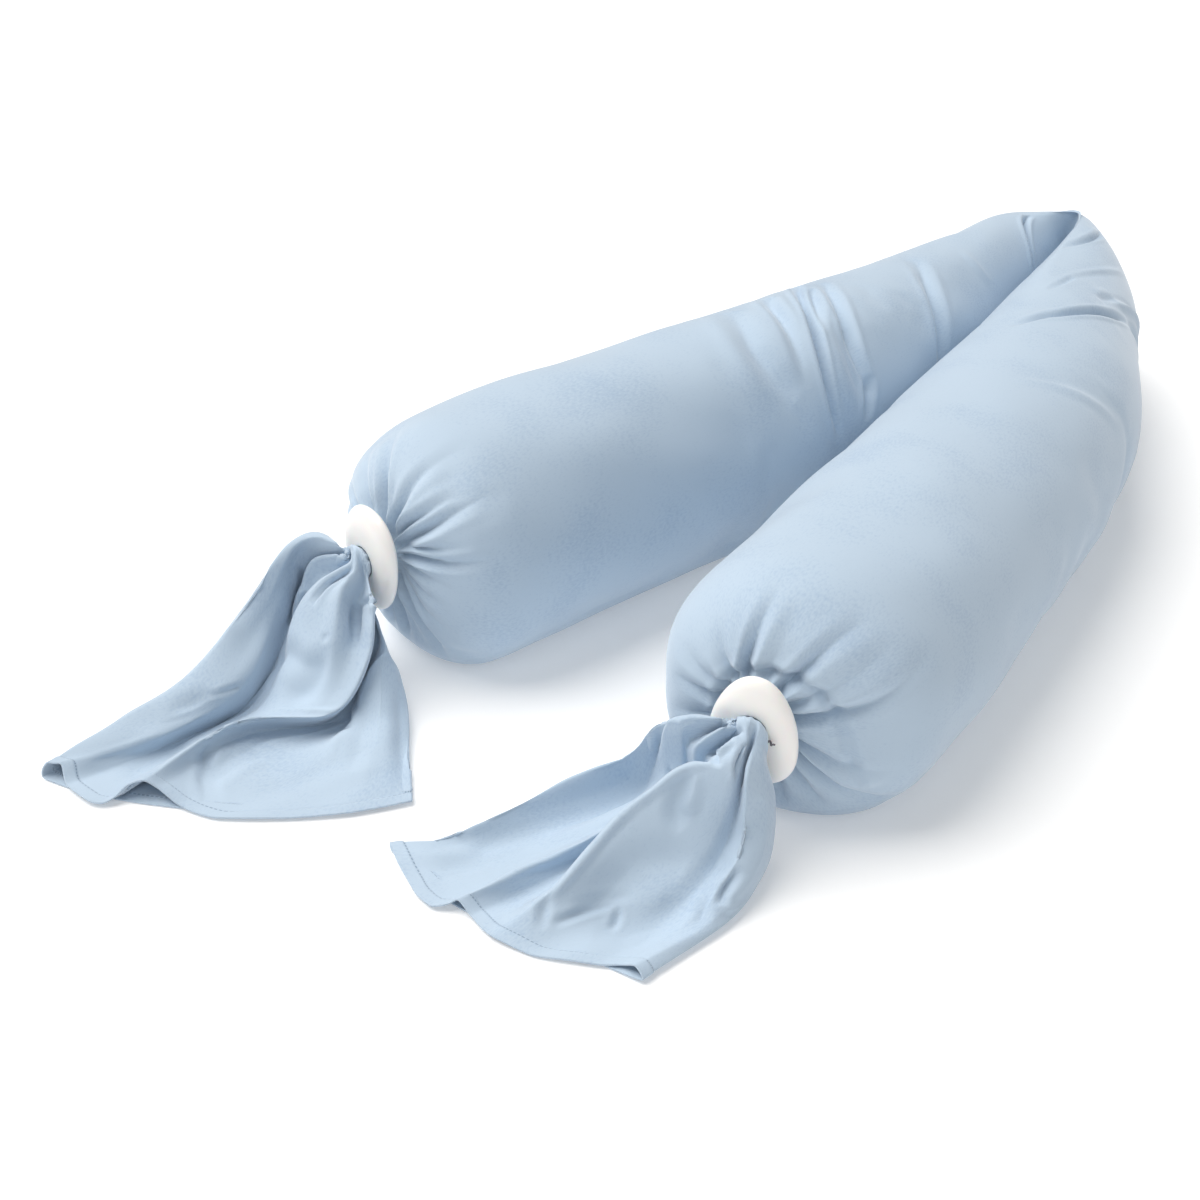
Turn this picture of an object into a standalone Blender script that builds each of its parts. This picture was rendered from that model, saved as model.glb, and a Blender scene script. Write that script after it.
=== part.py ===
"""Long body pillow folded into a narrow V: filled bolster, two loose cover ends, two pebble clips."""
import math

import bmesh
import bpy
import numpy as np
from mathutils import Matrix, Vector

# ---------------------------------------------------------------- sizes (metres)
SHIFT = (-0.1028, -0.1196)    # plan shift that puts the middle of the outline on the origin
NECK_RADIUS = 0.0104          # gathered cover where it passes through a clip
NECK_HEIGHT = 0.100           # height of both necks above the surface
NECK_LENGTH = 0.0060          # short stub of gathered cover that enters the clip
CAP_LENGTH = 0.085            # rounding of each end, measured along the arm
CAP_LOW = 0.062               # the same on the under side, where the filling sags forward
SINK = 0.009                  # how far the round section would reach below the surface
CLOTH = 0.0016                # thickness of the loose cover ends
BODY_COLUMNS = 56
TAIL_COLUMNS, TAIL_ROWS = 53, 15
CLIP_HALF = (0.033, 0.0445)   # half width and half length of a clip
CLIP_FRONT, CLIP_BACK = 0.0100, 0.0060
CLIP_HOLE = 0.0116
CLIP_SQUARE = 2.2             # fuller than an ellipsoid
CLIP_RINGS, CLIP_COLUMNS = 12, 32
TAIL_RING = 0.0104            # gathered sleeve in the hole of the clip
TAIL_START, TAIL_MOUTH = 0.0085, 0.0205   # along the neck: where the sleeve starts and leaves the clip

# one row per section of the filled body, walking from the left end round the fold to the right end:
# plan position of its inner and outer side, height of its top, where the crest lies between the
# two sides (0 inner, 1 outer) and how square the section is (2 is an ellipse)
SECTIONS = [
    # inner x, inner y, outer x, outer y,  top, crest, square
    (0.027, -0.203, -0.183, -0.153, 0.186, 0.50, 2.20),   # left end
    (0.052, -0.080, -0.153, -0.030, 0.196, 0.50, 2.15),
    (0.080, 0.070, -0.112, 0.120, 0.193, 0.50, 2.15),
    (0.110, 0.220, -0.068, 0.270, 0.192, 0.50, 2.15),
    (0.108, 0.370, -0.042, 0.400, 0.184, 0.52, 2.15),
    (0.094, 0.510, -0.026, 0.535, 0.176, 0.50, 2.10),
    (0.077, 0.618, -0.004, 0.650, 0.168, 0.42, 1.90),
    (0.076, 0.648, 0.086, 0.698, 0.168, 0.16, 1.60),      # tip of the fold
    (0.084, 0.622, 0.160, 0.628, 0.173, 0.16, 2.00),
    (0.099, 0.510, 0.232, 0.502, 0.181, 0.26, 2.25),
    (0.112, 0.370, 0.294, 0.380, 0.187, 0.46, 2.25),
    (0.125, 0.240, 0.329, 0.262, 0.190, 0.50, 2.15),
    (0.144, 0.100, 0.354, 0.130, 0.194, 0.50, 2.15),
    (0.160, -0.020, 0.376, 0.000, 0.197, 0.50, 2.15),
    (0.178, -0.206, 0.390, -0.151, 0.192, 0.50, 2.20),    # right end
]
# rings of the body mesh between two places along it (share of the whole length)
RINGS = [
    # from,  to, rings
    (0.00, 0.19, 7), (0.19, 0.34, 17), (0.34, 0.43, 5), (0.43, 0.70, 28), (0.70, 1.00, 9),
]
CAP_RINGS = 9


def curve(knots, values, at):
    """Smooth curve through table rows: cubic pieces whose slope at a row is taken from its neighbours."""
    k = np.asarray(knots, float)
    v = np.asarray(values, float).reshape(len(k), -1)
    h = np.diff(k)
    d = np.diff(v, axis=0) / h[:, None]
    m = np.vstack([d[:1], (d[:-1] * h[1:, None] + d[1:] * h[:-1, None]) / (h[1:] + h[:-1])[:, None], d[-1:]])
    i = np.clip(np.searchsorted(k, at, side="right") - 1, 0, len(k) - 2)
    u = (np.clip((np.asarray(at) - k[i]) / h[i], 0.0, 1.0))[:, None]
    w = h[i][:, None]
    return ((1 + 2 * u) * (1 - u) ** 2 * v[i] + u * (1 - u) ** 2 * w * m[i]
            + u * u * (3 - 2 * u) * v[i + 1] + u * u * (u - 1) * w * m[i + 1])


def press(d, soft=0.004):
    """Cloth pressed on a plane: the distance in front of it, eased to zero and never behind it."""
    return np.maximum(0.5 * (d + np.sqrt(d * d + soft * soft)) - 0.25 * soft, 0.0)


def travel_of_sections():
    """Distance along the body of every table row, measured at two thirds of the way to the outer side."""
    s = np.array(SECTIONS)
    mid = s[:, 0:2] * 0.35 + s[:, 2:4] * 0.65
    return np.concatenate([[0.0], np.cumsum(np.linalg.norm(np.diff(mid, axis=0), axis=1))]), s


def body_rings():
    """Ring places: even steps of the rounding angle on both ends, then the steps of the RINGS table."""
    total = travel_of_sections()[0][-1]
    cap = CAP_LENGTH * (1 - np.cos(np.linspace(0, math.pi / 2, CAP_RINGS, endpoint=False)))
    span = total - 2 * CAP_LENGTH
    run = [CAP_LENGTH + span * np.linspace(a, b, n, endpoint=False) for a, b, n in RINGS]
    return np.concatenate([cap, *run, [total - CAP_LENGTH], (total - cap)[::-1]])


def body_surface(at, columns):
    """Filled body: a closed section in an upright plane at every place, rounded off at both ends.

    The section is a squared ellipse between its inner and outer side, pressed flat on the surface.
    Angle 0 is the outer side, a quarter turn is the crest, half a turn the inner side.
    """
    knots, s = travel_of_sections()
    a = curve(knots, s, at)
    inner, outer, top, crest, square = a[:, 0:2], a[:, 2:4], a[:, 4:5], a[:, 5:6], a[:, 6:7]
    width = np.linalg.norm(outer - inner, axis=1)[:, None]
    across = (outer - inner) / width
    angle = np.linspace(0, 2 * math.pi, columns, endpoint=False)[None, :]
    c, q = np.cos(angle), np.sin(angle)
    cc = np.sign(c) * np.abs(c) ** (2 / square)
    qq = np.sign(q) * np.abs(q) ** (2 / square)
    lateral = np.where(cc > 0, crest * width + (1 - crest) * width * cc, crest * width * (1 + cc))
    centre = (top - SINK) / 2
    height = centre + (top + SINK) / 2 * qq
    from_end = np.minimum(at, knots[-1] - at)[:, None]
    length = CAP_LENGTH - (CAP_LENGTH - CAP_LOW) * np.clip(-q, 0, 1)
    grow = (1 - (1 - np.clip(from_end / length, 0, 1)) ** 2.4) ** (1 / 2.1)
    share = (NECK_RADIUS + (width / 2 - NECK_RADIUS) * grow) / (width / 2)
    lateral = width / 2 + (lateral - width / 2) * share
    height = NECK_HEIGHT + (centre - NECK_HEIGHT) * grow + (height - centre) * share
    p = np.empty(lateral.shape + (3,))
    p[..., 0] = inner[:, 0:1] + across[:, 0:1] * lateral
    p[..., 1] = inner[:, 1:2] + across[:, 1:2] * lateral
    p[..., 2] = press(height)
    return p


# gathers that run out from behind the clips; the angle turns as in body_surface, reach is measured
# along the cloth from the neck, half width and depth are those of the valley (a negative depth is a ridge)
GATHERS = [
    # end, angle at clip, angle at far end, reach from, reach to, half width, depth
    ("left", 34, 18, 0.010, 0.085, 0.0060, 0.0040),
    ("left", 84, 60, 0.006, 0.110, 0.0070, 0.0080),
    ("left", 92, 104, 0.010, 0.120, 0.0070, 0.0045),
    ("left", 138, 124, 0.006, 0.115, 0.0070, 0.0080),
    ("left", 184, 161, 0.006, 0.100, 0.0065, 0.0070),
    ("left", 226, 246, 0.006, 0.100, 0.0070, 0.0080),
    ("left", 268, 272, 0.010, 0.070, 0.0080, 0.0050),
    ("left", 304, 298, 0.010, 0.090, 0.0080, 0.0060),
    ("left", 346, 340, 0.010, 0.090, 0.0080, 0.0060),
    ("right", 128, 117, 0.010, 0.095, 0.0070, 0.0045),
    ("right", 80, 88, 0.010, 0.090, 0.0090, 0.0080),
    ("right", 58, 54, 0.010, 0.120, 0.0080, 0.0075),
    ("right", 18, 35, 0.006, 0.120, 0.0080, 0.0090),
    ("right", 346, 10, 0.006, 0.110, 0.0060, 0.0050),
    ("right", 314, 314, 0.008, 0.115, 0.0085, 0.0080),
    ("right", 276, 280, 0.010, 0.070, 0.0080, 0.0050),
    ("right", 236, 230, 0.010, 0.090, 0.0080, 0.0060),
    ("right", 196, 200, 0.010, 0.100, 0.0080, 0.0050),
    ("right", 162, 168, 0.010, 0.080, 0.0060, 0.0025),
]
# creases across the body where it bends; places are metres along the body
CREASES = [
    # place at start, middle and end, angle at start and end, half width, depth
    (0.468, 0.422, 0.405, 60, 160, 0.0080, 0.0070),
    (0.395, 0.362, 0.366, 76, 160, 0.0130, 0.0040),
    (0.520, 0.465, 0.456, 60, 160, 0.0100, 0.0050),
    (0.602, 0.585, 0.574, 80, 160, 0.0090, 0.0030),
    (0.812, 0.765, 0.722, 52, 148, 0.0110, 0.0110),
    (0.985, 0.975, 0.972, 40, 120, 0.0090, 0.0050),
    (1.135, 1.190, 1.208, 46, 132, 0.0110, 0.0100),
    (1.010, 1.085, 1.130, 14, 84, 0.0100, -0.0035),
    (1.140, 1.132, 1.136, 90, 122, 0.0080, 0.0040),
    (1.300, 1.325, 1.338, 34, 92, 0.0140, 0.0020),
]


def wrap(angle):
    """Angle difference brought back to between minus and plus half a turn."""
    return (angle + math.pi) % (2 * math.pi) - math.pi


def fade(share):
    """Rise from nothing at 0, full in the middle, back to nothing at 1."""
    return np.sin(math.pi * np.clip(share, 0, 1)) ** 0.8


def valley(x, half_width):
    """Crease profile across: a rounded valley with a low swelling of cloth on either side."""
    u = np.abs(x) / half_width
    return np.exp(-u ** 2) - 0.22 * np.exp(-((u - 2.0) / 0.8) ** 2)


def normals(p):
    """Outward unit normals of a surface grid that closes round its columns."""
    along = np.gradient(p, axis=0)
    around = np.roll(p, -1, axis=1) - np.roll(p, 1, axis=1)
    n = np.cross(around, along)
    n *= np.sign(((p - p.mean(axis=1, keepdims=True)) * n).sum(axis=2).sum(axis=1))[:, None, None]
    return n / np.maximum(np.linalg.norm(n, axis=2, keepdims=True), 1e-12)


def add_gathers(p, at):
    """Push the cloth in along every row of GATHERS and CREASES, nowhere on the resting face."""
    columns = p.shape[1]
    angle = np.linspace(0, 2 * math.pi, columns, endpoint=False)[None, :]
    step = np.linalg.norm(np.diff(p, axis=0), axis=2)
    reach = np.vstack([np.zeros((1, columns)), np.cumsum(step, axis=0)])
    around = np.linalg.norm(np.roll(p, -1, axis=1) - p, axis=2).sum(axis=1)[:, None] / (2 * math.pi)
    depth = np.zeros(p.shape[:2])
    for end, near, far, start, stop, half, deep in GATHERS:
        r = reach if end == "left" else reach[-1] - reach
        share = (r - start) / (stop - start)
        turn = math.radians(near) + wrap(math.radians(far - near)) * np.sqrt(np.clip(share, 0, 1))
        depth += deep * fade(np.clip(share, 0, 1) ** 0.7) * valley(wrap(angle - turn) * around, half)
    for first, middle, last, begin, end, half, deep in CREASES:
        share = (angle - math.radians(begin)) / math.radians(end - begin)
        u = np.clip(share, 0, 1)
        place = first * (1 - u) * (1 - 2 * u) + 4 * middle * u * (1 - u) + last * u * (2 * u - 1)
        depth += deep * fade(share) * valley(at[:, None] - place, half)
    clear = np.clip(p[..., 2] / 0.035, 0, 1) ** 2
    q = p - normals(p) * (depth * clear)[..., None]
    q[..., 2] = np.maximum(q[..., 2], 0.0)
    return q


# loose cover ends: a row for every fold round the sleeve, seen from the hem from its left edge over the
# top to its right edge and back underneath; x, y and z are in millimetres
TAILS = {
    "tail_left": [
        # angle at the neck, then x, y, z at six stations from the neck to the hem
        (200, -118, -192, 88, -158, -205, 56, -178, -236, 16, -170, -311, 3, -170, -385, 2, -171, -459, 2),
        (180, -116, -199, 112, -142, -216, 106, -144, -266, 72, -140, -332, 42, -156, -392, 25, -170, -454, 13),
        (168, -107, -203, 114, -136, -217, 103, -136, -258, 63, -117, -329, 34, -139, -390, 20, -164, -451, 13),
        (155, -100, -204, 111, -137, -213, 94, -132, -246, 58, -111, -306, 29, -123, -376, 16, -160, -449, 12),
        (145, -96, -202, 103, -130, -210, 78, -126, -240, 38, -111, -298, 9, -124, -368, 5, -147, -456, 3.5),
        (125, -89, -204, 104, -116, -214, 84, -120, -238, 48, -105, -290, 13, -108, -365, 8, -119, -459, 3.5),
        (112, -83, -209, 107, -102, -228, 90, -114, -244, 60, -99, -288, 18, -102, -363, 11, -111, -456, 3.5),
        (98, -78, -212, 106, -83, -234, 88, -82, -257, 56, -80, -287, 20, -96, -355, 15, -105, -448, 6),
        (86, -74, -211, 103, -70, -232, 90, -59, -256, 62, -58, -285, 23, -91, -347, 19, -101, -436, 13),
        (74, -72, -208, 97, -60, -226, 82, -46, -250, 58, -43, -285, 24, -89, -339, 21, -96, -431, 16),
        (60, -69, -206, 92, -48, -222, 74, -38, -242, 50, -36, -280, 21, -86, -335, 20, -92, -428, 16),
        (45, -69, -205, 86, -52, -216, 58, -48, -236, 30, -46, -271, 6, -84, -328, 6, -80, -423, 10),
        (30, -70, -205, 82, -50, -216, 50, -45, -241, 24, -36, -268, 6, -52, -332, 4, -52, -420, 3.5),
        (14, -70, -205, 80, -43, -221, 51, -38, -242, 36, -29, -265, 18, -10, -314, 7, 4, -386, 3.5),
        (0, -71, -204, 80, -37, -221, 53, -33, -230, 44, -12, -258, 27, 15, -296, 12, 42, -349, 3.5),
        (-22, -74, -203, 71, -44, -213, 40, -28, -218, 27, -7, -232, 13, 32, -273, 6, 68, -310, 3),
        (-60, -84, -202, 60, -62, -210, 14, -44, -229, 1.5, -5, -262, 1, 29, -298, 1, 47, -331, 1),
        (-100, -96, -202, 60, -94, -222, 12, -75, -261, 1.5, -45, -313, 1, -29, -363, 1, -29, -400, 1),
        (-140, -108, -197, 70, -134, -208, 24, -134, -256, 1.5, -117, -334, 1, -119, -397, 1, -123, -449, 1),
    ],
    "tail_right": [
        (205, 248, -212, 66, 212, -196, 28, 168, -213, 3, 146, -288, 2, 122, -333, 1.5, 94, -361, 1.5),
        (188, 252, -212, 88, 210, -202, 50, 171, -226, 31, 143, -296, 20, 119, -336, 9, 89, -357, 3),
        (178, 257, -211, 96, 218, -211, 78, 192, -212, 24, 154, -293, 16, 129, -337, 7, 106, -368, 3.5),
        (168, 260, -210, 97, 224, -209, 72, 205, -212, 22, 165, -290, 11, 143, -344, 6, 126, -379, 3.5),
        (156, 268, -210, 110, 238, -220, 97, 230, -215, 44, 179, -288, 9, 155, -349, 6, 144, -388, 3.5),
        (146, 272, -210, 107, 250, -219, 92, 243, -216, 49, 196, -286, 11, 172, -353, 7, 163, -390, 4),
        (134, 280, -210, 107, 264, -223, 91, 253, -219, 56, 216, -282, 23, 190, -352, 16, 175, -381, 9),
        (120, 284, -210, 104, 275, -223, 92, 262, -222, 64, 227, -277, 22, 212, -324, 12, 192, -383, 4),
        (104, 295, -214, 106, 293, -233, 97, 268, -240, 82, 242, -280, 52, 234, -333, 30, 215, -388, 3.5),
        (90, 298, -214, 104, 299, -236, 93, 285, -243, 68, 265, -278, 37, 256, -322, 15, 246, -385, 3.5),
        (76, 298, -213, 101, 303, -232, 85, 298, -241, 54, 293, -271, 26, 284, -315, 9, 275, -373, 3.5),
        (58, 299, -209, 99, 307, -228, 83, 312, -239, 51, 316, -268, 24, 309, -306, 9, 298, -360, 4),
        (26, 305, -205, 97, 316, -216, 77, 324, -226, 46, 331, -257, 22, 326, -297, 10, 313, -359, 9),
        (0, 306, -201, 88, 316, -203, 58, 321, -208, 30, 329, -236, 12, 333, -280, 6, 321, -361, 4),
        (-50, 298, -201, 64, 288, -200, 14, 297, -218, 1.5, 306, -250, 1, 314, -298, 1, 292, -363, 1),
        (-95, 276, -206, 58, 254, -206, 8, 245, -253, 1.5, 238, -301, 1, 232, -338, 1, 215, -377, 1),
        (-140, 258, -209, 60, 226, -198, 18, 193, -230, 1.5, 174, -290, 1, 157, -336, 1, 147, -376, 1),
    ],
}
# clips: plan position of the neck they close, heading of the arm's end (degrees from +X), lean of
# the long axis in the plane of the clip, how much wider the upper half is (negative is the lower half),
# and how far the clip hangs below the middle of its hole
NECKS = {
    "left": {"at": (-0.0780, -0.1780), "heading": 256.6, "lean": 0.0, "egg": 0.10, "drop": 0.0},
    "right": {"at": (0.2840, -0.1785), "heading": 284.5, "lean": 3.0, "egg": -0.22, "drop": 0.0045},
}
CLIP_OUT = 0.0092             # clip centre in front of the neck


def neck_frame(side):
    """Neck centre and the three directions there: out of the arm, to the right as seen from outside, up."""
    n = NECKS[side]
    turn = math.radians(n["heading"])
    out = np.array([math.cos(turn), math.sin(turn), 0.0])
    right = np.array([-out[1], out[0], 0.0])
    return np.array([*n["at"], NECK_HEIGHT]), out, right, np.array([0.0, 0.0, 1.0])


def tail_surface(name, rows, columns):
    """Open sleeve: every fold runs from the ring at the neck through its stations to the hem, and the
    cloth runs smoothly from fold to fold round the sleeve."""
    centre, out, right, up = neck_frame(name.split("_")[1])
    folds = np.array(TAILS[name], float)
    turn = np.radians(folds[:, 0])[:, None]
    ring = TAIL_RING * (np.cos(turn) * right + np.sin(turn) * up)
    lines = np.concatenate([(centre + out * TAIL_START + ring)[None], (centre + out * TAIL_MOUTH + ring)[None],
                            folds[:, 1:].reshape(len(folds), -1, 3).transpose(1, 0, 2) / 1000])
    knots = np.concatenate([[0.0], np.cumsum(np.linalg.norm(np.diff(lines, axis=0), axis=2).mean(axis=1))])
    along = np.concatenate([[0.0], np.linspace(knots[1], knots[-1], rows - 1)])
    lines = curve(knots, lines.reshape(len(knots), -1), along).reshape(rows, len(folds), 3)
    gap = np.linalg.norm(np.roll(lines, -1, axis=1) - lines, axis=2)[rows // 3:].mean(axis=0)
    place = np.concatenate([[0.0], np.cumsum(gap)])
    lap = place[-1]
    many = np.concatenate([place[:-1] - lap, place[:-1], place[:-1] + lap])
    looped = np.concatenate([lines] * 3, axis=1).transpose(1, 0, 2)
    at = np.linspace(0, lap, columns, endpoint=False)
    p = curve(many, looped.reshape(len(many), -1), at).reshape(columns, rows, 3).transpose(1, 0, 2)
    held = centre + out * np.array([[[TAIL_START]], [[TAIL_MOUTH]]])     # true rings inside the clip
    p[:2] = held + (p[:2] - held) * (TAIL_RING / np.linalg.norm(p[:2] - held, axis=2, keepdims=True))
    p[..., 2] = np.maximum(p[..., 2], 0.0004)
    return p


# ---------------------------------------------------------------- building
MATERIALS = {
    # name: base colour (linear), roughness
    "cover_jersey": ((0.397, 0.527, 0.701, 1.0), 0.85),
    "clip_white": ((0.87, 0.85, 0.82, 1.0), 0.35),
}


def material(name, look):
    """Plain Principled material with the colour and roughness of the table."""
    made = bpy.data.materials.new(name)
    made.use_nodes = True
    colour, rough = MATERIALS[look]
    shader = made.node_tree.nodes["Principled BSDF"]
    shader.inputs["Base Color"].default_value = colour
    shader.inputs["Roughness"].default_value = rough
    made.diffuse_color = colour
    return made


def loop_faces(rows, columns):
    """Quads of a grid that closes round its columns."""
    return [(r * columns + c, r * columns + (c + 1) % columns,
             (r + 1) * columns + (c + 1) % columns, (r + 1) * columns + c)
            for r in range(rows - 1) for c in range(columns)]


def loft_object(collection, name, points, faces, look):
    """Mesh object of a lofted surface, faces outward, shaded smooth, with its own material."""
    shifted = np.asarray(points, float).reshape(-1, 3) + np.array([*SHIFT, 0.0])
    mesh = bpy.data.meshes.new(name)
    mesh.from_pydata(shifted.tolist(), [], faces)
    shape = bmesh.new()
    shape.from_mesh(mesh)
    bmesh.ops.recalc_face_normals(shape, faces=shape.faces)
    shape.to_mesh(mesh)
    shape.free()
    mesh.shade_smooth()
    made = bpy.data.objects.new(name, mesh)
    made.data.materials.append(material(name + "_" + look, look))
    collection.objects.link(made)
    return made


def bolster(collection):
    """Filled body: its rings plus a short stub into each clip, closed by a flat disc at both ends."""
    at = body_rings()
    p = add_gathers(body_surface(at, BODY_COLUMNS), at)
    stub = {side: NECK_LENGTH * neck_frame(side)[1] for side in NECKS}
    p = np.concatenate([p[:1] + stub["left"], p, p[-1:] + stub["right"]])
    faces = loop_faces(len(p), BODY_COLUMNS)
    faces.append(tuple(range(BODY_COLUMNS)))
    faces.append(tuple(range((len(p) - 1) * BODY_COLUMNS, len(p) * BODY_COLUMNS)))
    loft_object(collection, "bolster", p, faces, "cover_jersey")


def sleeve(collection, name):
    """Loose end of the cover: an open sleeve with the thickness of its cloth laid on the inside."""
    p = tail_surface(name, TAIL_ROWS, TAIL_COLUMNS)
    made = loft_object(collection, name, p, loop_faces(TAIL_ROWS, TAIL_COLUMNS), "cover_jersey")
    cloth = made.modifiers.new("cloth", "SOLIDIFY")
    cloth.thickness = CLOTH
    cloth.offset = -1.0
    cloth.use_even_offset = False


def clip(collection, cutters, side):
    """Egg-shaped pebble, more curved in front than behind, with a round hole for the gathered neck."""
    centre, out, right, up = neck_frame(side)
    lean = math.radians(NECKS[side]["lean"])
    wide_axis = math.cos(lean) * right + math.sin(lean) * up
    long_axis = math.cos(lean) * up - math.sin(lean) * right
    turn = Matrix([wide_axis, long_axis, out]).transposed().to_4x4()
    hole_place = Matrix.Translation(Vector(centre + out * CLIP_OUT) + Vector((*SHIFT, 0.0))) @ turn
    place = Matrix.Translation((0.0, 0.0, -NECKS[side]["drop"])) @ hole_place

    shape = bmesh.new()
    bmesh.ops.create_uvsphere(shape, u_segments=CLIP_COLUMNS, v_segments=CLIP_RINGS, radius=1.0)
    for v in shape.verts:
        x, y, z = v.co
        flat = math.hypot(x, y)
        fuller = flat ** (2 / CLIP_SQUARE - 1) if flat > 1e-6 else 0.0
        depth = math.copysign(abs(z) ** (2 / CLIP_SQUARE), z)
        v.co = (CLIP_HALF[0] * x * fuller * (1 + NECKS[side]["egg"] * y), CLIP_HALF[1] * y * fuller,
                depth * (CLIP_FRONT if z > 0 else CLIP_BACK))
    mesh = bpy.data.meshes.new("clip_" + side)
    shape.to_mesh(mesh)
    shape.free()
    mesh.shade_smooth()
    made = bpy.data.objects.new("clip_" + side, mesh)
    made.data.materials.append(material("clip_" + side + "_clip_white", "clip_white"))
    made.matrix_world = place
    collection.objects.link(made)

    shape = bmesh.new()
    bmesh.ops.create_cone(shape, cap_ends=True, segments=CLIP_COLUMNS,
                          radius1=CLIP_HOLE, radius2=CLIP_HOLE, depth=4 * CLIP_FRONT)
    mesh = bpy.data.meshes.new("hole_" + side)
    shape.to_mesh(mesh)
    shape.free()
    cutter = bpy.data.objects.new("hole_" + side, mesh)
    cutter.matrix_world = hole_place
    cutter.hide_render = True
    cutter.display_type = "WIRE"
    cutters.objects.link(cutter)
    cut = made.modifiers.new("hole", "BOOLEAN")
    cut.operation = "DIFFERENCE"
    cut.solver = "EXACT"
    cut.object = cutter


for old in list(bpy.data.objects):
    bpy.data.objects.remove(old, do_unlink=True)
pillow = bpy.data.collections.new("body_pillow")
cutting = bpy.data.collections.new("body_pillow_cutters")
bpy.context.scene.collection.children.link(pillow)
bpy.context.scene.collection.children.link(cutting)
bolster(pillow)
for tail in TAILS:
    sleeve(pillow, tail)
for neck in NECKS:
    clip(pillow, cutting, neck)
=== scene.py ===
import math

import bpy
import numpy as np
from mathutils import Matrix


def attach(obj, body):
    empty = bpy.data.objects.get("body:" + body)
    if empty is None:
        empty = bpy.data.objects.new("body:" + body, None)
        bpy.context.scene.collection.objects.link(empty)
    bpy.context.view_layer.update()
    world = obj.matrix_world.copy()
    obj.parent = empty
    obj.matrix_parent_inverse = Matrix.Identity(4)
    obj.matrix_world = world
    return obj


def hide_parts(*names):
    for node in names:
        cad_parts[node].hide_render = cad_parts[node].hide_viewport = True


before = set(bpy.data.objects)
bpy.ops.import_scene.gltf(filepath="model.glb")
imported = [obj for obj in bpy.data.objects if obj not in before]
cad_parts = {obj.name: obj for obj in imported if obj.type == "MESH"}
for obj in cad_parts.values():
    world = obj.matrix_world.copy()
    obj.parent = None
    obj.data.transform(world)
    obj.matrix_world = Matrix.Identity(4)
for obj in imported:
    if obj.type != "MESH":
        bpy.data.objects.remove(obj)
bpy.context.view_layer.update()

# ---------------------------------------------------------------------------------------------
# Bolster. One long tube of cotton jersey over a soft inner pillow, folded over in the middle.
# The tube is sewn as a straight cylinder; both ends are gathered by hand and drawn through a clip,
# so deep pleats fan out from the clips and creases cross the cover where the body bends.
SHIFT = np.array([-0.1028, -0.1196, 0.0])    # puts the middle of the outline on the origin
NECK_RADIUS = 0.0104
NECK_HEIGHT = 0.100
NECK_LENGTH = 0.0060          # gathered cover inside the clip
CAP_LENGTH = 0.085            # rounding of each end along the arm, above
CAP_LOW = 0.062               # and below
CAP_CURVE = (2.4, 2.1)        # powers of that rounding, along the arm and across it
SINK = 0.009                  # how far the body would reach below the surface if it weren't pressed flat
BODY_COLUMNS = 320
CAP_ROWS = 52
GIRTH = 0.60                  # flat cut of the tube, around
SWELL = 0.0012                # slow unevenness of the filling
DEEPEST = 0.40                # share of the way to the middle of the body that a valley may reach
PLEATS_WIDEN = 1.4            # how much wider a pleat is where it ends than at the neck
RELIEF_FADE = 0.030           # height below which folds fade out towards the surface
AIR_ROOM = 0.0040             # room left for the filling to push out,
AIR_FADE = (0.050, 0.045)     # which fades out over this far from a neck and from the surface
AIR_CAP = 0.006               # farthest that the filling moves the cloth
LIES_BELOW = 0.006            # cloth lower than this lies on the surface and stays there

SECTIONS = [
    # plan of the inner side, plan of the outer side, top, where the crest lies, squareness
    (0.027, -0.203, -0.183, -0.153, 0.186, 0.50, 2.20),   # left end
    (0.052, -0.080, -0.153, -0.030, 0.196, 0.50, 2.15),
    (0.080, 0.070, -0.112, 0.120, 0.193, 0.50, 2.15),
    (0.110, 0.220, -0.068, 0.270, 0.192, 0.50, 2.15),
    (0.108, 0.370, -0.042, 0.400, 0.184, 0.52, 2.15),
    (0.094, 0.510, -0.026, 0.535, 0.176, 0.50, 2.10),
    (0.077, 0.618, -0.004, 0.650, 0.168, 0.42, 1.90),
    (0.076, 0.648, 0.086, 0.698, 0.168, 0.16, 1.60),      # tip of the fold
    (0.084, 0.622, 0.160, 0.628, 0.173, 0.16, 2.00),
    (0.099, 0.510, 0.232, 0.502, 0.181, 0.26, 2.25),
    (0.112, 0.370, 0.294, 0.380, 0.187, 0.46, 2.25),
    (0.125, 0.240, 0.329, 0.262, 0.190, 0.50, 2.15),
    (0.144, 0.100, 0.354, 0.130, 0.194, 0.50, 2.15),
    (0.160, -0.020, 0.376, 0.000, 0.197, 0.50, 2.15),
    (0.178, -0.206, 0.390, -0.151, 0.192, 0.50, 2.20),    # right end
]
BODY_ROWS = [
    # from, to and step between rows, in metres along the body
    (0.085, 0.300, 0.0045), (0.300, 0.620, 0.0022), (0.620, 0.700, 0.0035),
    (0.700, 1.300, 0.0022), (1.300, 1.710, 0.0048),
]
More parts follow.
